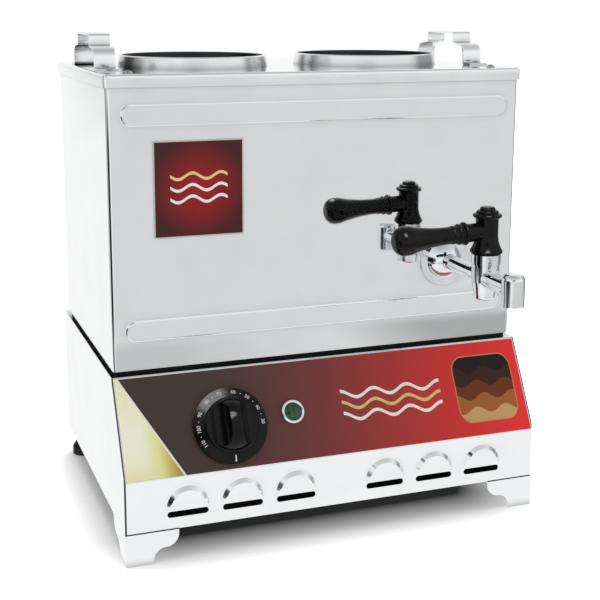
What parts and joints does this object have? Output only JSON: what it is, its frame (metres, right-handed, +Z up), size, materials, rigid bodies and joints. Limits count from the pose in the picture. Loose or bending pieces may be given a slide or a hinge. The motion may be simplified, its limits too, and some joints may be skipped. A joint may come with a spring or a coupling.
{
  "type": "electric tea urn",
  "caption": "Electric tea urn with a steel tank, pot collars and carrying handles on top, a lever tap, and a sloped control base with thermostat knob and pilot lamp.",
  "frame": {"origin": "on the floor, under the middle of the outer box (tap and cord gland included)", "axes": "+Z up, -Y out of the tank's front where the tap and the controls are, +X to the right of someone facing the front"},
  "size_m": [0.355, 0.359, 0.4017],
  "materials": {
    "polished_steel": "polished stainless sheet, near mirror on the front",
    "inner_steel": "satin stainless sheet",
    "fastener_steel": "plated steel",
    "badge_enamel": "glossy dark red with a paler middle",
    "black_rubber": "matte",
    "silicone": "matte",
    "printed_film": "printed film, brown to red, with a gold corner",
    "black_plastic": "moulded black, half gloss",
    "gland_nylon": "matte black",
    "pale_plastic": "matte cream",
    "copper": "drawn copper",
    "brass": "machined brass",
    "heater_alloy": "oxidised heating tube",
    "wire_sleeve": "matte red sleeve",
    "chrome": "bright chrome plate",
    "green_lens": "tinted green lens"
  },
  "bodies": {
    "urn": {"tank_shell": "polished_steel", "tank_floor": "inner_steel", "top_cover": "polished_steel", "cover_skirt": "polished_steel", "pot_collar_left": "polished_steel", "pot_collar_right": "polished_steel", "carry_handle_left": "polished_steel", "carry_handle_right": "polished_steel", "handle_screws": "fastener_steel", "handle_nuts": "fastener_steel", "cover_screws": "fastener_steel", "badge_plate": "badge_enamel", "base_seal": "black_rubber", "base_shell": "polished_steel", "front_panel": "polished_steel", "control_label": "printed_film", "base_floor": "inner_steel", "floor_screws": "fastener_steel", "tank_clamp_screws": "fastener_steel", "tank_clamp_nuts": "fastener_steel", "bracket_foot_left": "polished_steel", "bracket_foot_right": "polished_steel", "rear_foot_left": "black_rubber", "rear_foot_right": "black_rubber", "foot_screws": "fastener_steel", "foot_nuts": "fastener_steel", "thermostat_body": "pale_plastic", "thermostat_screws": "fastener_steel", "thermostat_capillary": "copper", "capillary_gland": "brass", "lamp_bezel": "chrome", "lamp_lens": "green_lens", "lamp_body": "pale_plastic", "lamp_nut": "pale_plastic", "heating_element": "heater_alloy", "element_bushes": "brass", "element_seals": "silicone", "element_nuts": "brass", "element_terminals": "pale_plastic", "limit_thermostat": "gland_nylon", "terminal_block": "pale_plastic", "earth_stud": "brass", "wiring": "wire_sleeve", "cord_gland": "gland_nylon", "gland_nut": "gland_nylon", "tap_rosette": "chrome", "tap_shank": "chrome", "tap_seals": "silicone", "tap_nut": "brass", "tap_body": "chrome", "tap_bonnet": "chrome", "stem_seal": "black_rubber", "tap_spout": "chrome"},
    "knob": {"thermostat_knob": "black_plastic", "thermostat_shaft": "fastener_steel"},
    "tap_handle": {"tap_plug": "brass", "tap_lever": "black_plastic", "lever_cap": "black_plastic", "lever_screw": "fastener_steel"}
  },
  "joints": [
    {"name": "tap_turn", "type": "hinge", "parent": "urn", "child": "tap_handle", "pos_m": [0.11, -0.1271, 0.2135], "axis": [0, 0, 1], "range_deg": [0, 90]},
    {"name": "thermostat_turn", "type": "hinge", "parent": "urn", "child": "knob", "pos_m": [-0.089, -0.08269, 0.09843], "axis": [0, 0.8751, -0.484], "range_deg": [0, 300]}
  ]
}
